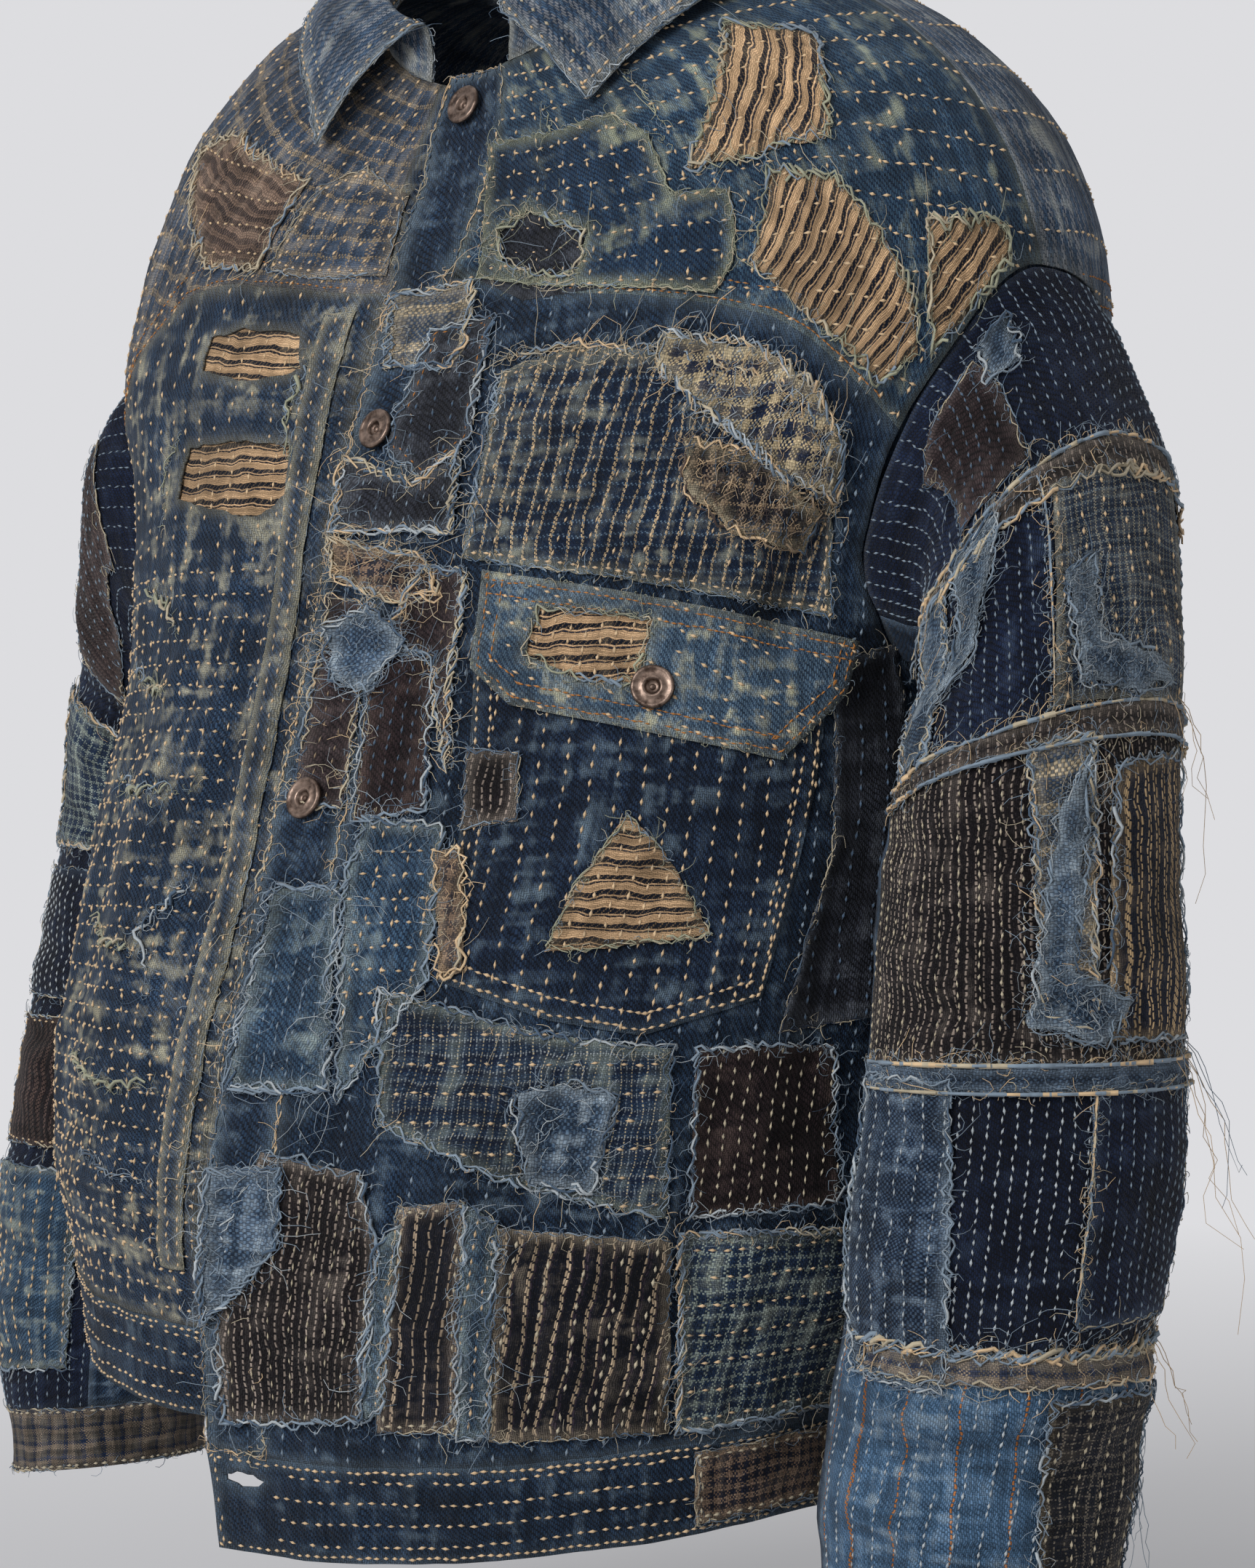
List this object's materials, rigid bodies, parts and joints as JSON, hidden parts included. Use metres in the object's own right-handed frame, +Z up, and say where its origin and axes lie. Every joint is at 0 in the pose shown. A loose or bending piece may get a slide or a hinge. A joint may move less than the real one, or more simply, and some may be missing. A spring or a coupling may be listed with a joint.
{
  "type": "patched boro jacket",
  "caption": "Worn, hollow patchwork work jacket with a turned-down collar, buttoned front, flapped chest pocket and layered frayed patches.",
  "frame": {"origin": "middle of the neck opening, where the wearer's shoulders and neck hold the jacket", "axes": "+Z up along the body, the front faces -Y, the wearer's left is +X"},
  "size_m": [0.6512, 0.3653, 0.7333],
  "materials": {
    "indigo_cloth": "washed indigo cotton with running stitches, matt",
    "faded_indigo": "faded indigo denim with sashiko crosses, matt and worn pale along folds",
    "navy_cloth": "dark navy cotton with blue running stitches, matt",
    "blue_twill": "washed blue cotton twill, matt",
    "brown_cloth": "dark brown ribbed cotton with white flecks, matt",
    "grey_check": "grey-blue woven check, matt",
    "gauze": "thin open cotton gauze, frayed",
    "ticking": "cream striped ticking with frayed edges, matt",
    "button_metal": "aged stamped metal, worn satin"
  },
  "bodies": {
    "root": {"back_panel": "indigo_cloth", "back_yoke": "blue_twill", "button_chest": "button_metal", "button_flap": "button_metal", "button_neck": "button_metal", "button_waist": "button_metal", "collar": "blue_twill", "cuff_left": "grey_check", "cuff_right": "grey_check", "front_left": "indigo_cloth", "front_right": "faded_indigo", "front_yoke_left": "blue_twill", "front_yoke_right": "grey_check", "patch_brown_front": "brown_cloth", "patch_brown_side": "brown_cloth", "patch_charcoal_cap": "brown_cloth", "patch_check_yoke": "indigo_cloth", "patch_check_yoke_right": "grey_check", "patch_dark_check_cuff": "grey_check", "patch_denim_edge": "indigo_cloth", "patch_denim_right": "blue_twill", "patch_fine_check_sleeve": "grey_check", "patch_flecked_front": "brown_cloth", "patch_frayed_check_right": "grey_check", "patch_gauze_forearm": "gauze", "patch_gauze_hem": "gauze", "patch_gauze_placket": "gauze", "patch_gauze_sleeve": "gauze", "patch_glen_check": "grey_check", "patch_navy_forearm": "navy_cloth", "patch_navy_right": "navy_cloth", "patch_ribbed_cap_right": "brown_cloth", "patch_ribbed_yoke": "brown_cloth", "patch_stripe_narrow": "ticking", "patch_stripe_sleeve": "ticking", "patch_stripe_wide": "ticking", "patch_striped_chest": "grey_check", "patch_tan_band": "ticking", "patch_ticking_armhole": "ticking", "patch_ticking_pocket": "ticking", "patch_ticking_point": "ticking", "patch_ticking_right_lower": "ticking", "patch_ticking_right_upper": "ticking", "patch_ticking_shoulder": "ticking", "placket_left": "indigo_cloth", "placket_right": "indigo_cloth", "pleat_right": "faded_indigo", "pocket": "indigo_cloth", "pocket_flap": "faded_indigo", "sleeve_left_block_1": "navy_cloth", "sleeve_left_block_2": "navy_cloth", "sleeve_left_block_3": "brown_cloth", "sleeve_left_block_4": "navy_cloth", "sleeve_left_block_5": "blue_twill", "sleeve_left_under": "indigo_cloth", "sleeve_right_under": "indigo_cloth", "sleeve_right_upper": "indigo_cloth", "waistband": "indigo_cloth"}
  },
  "joints": []
}
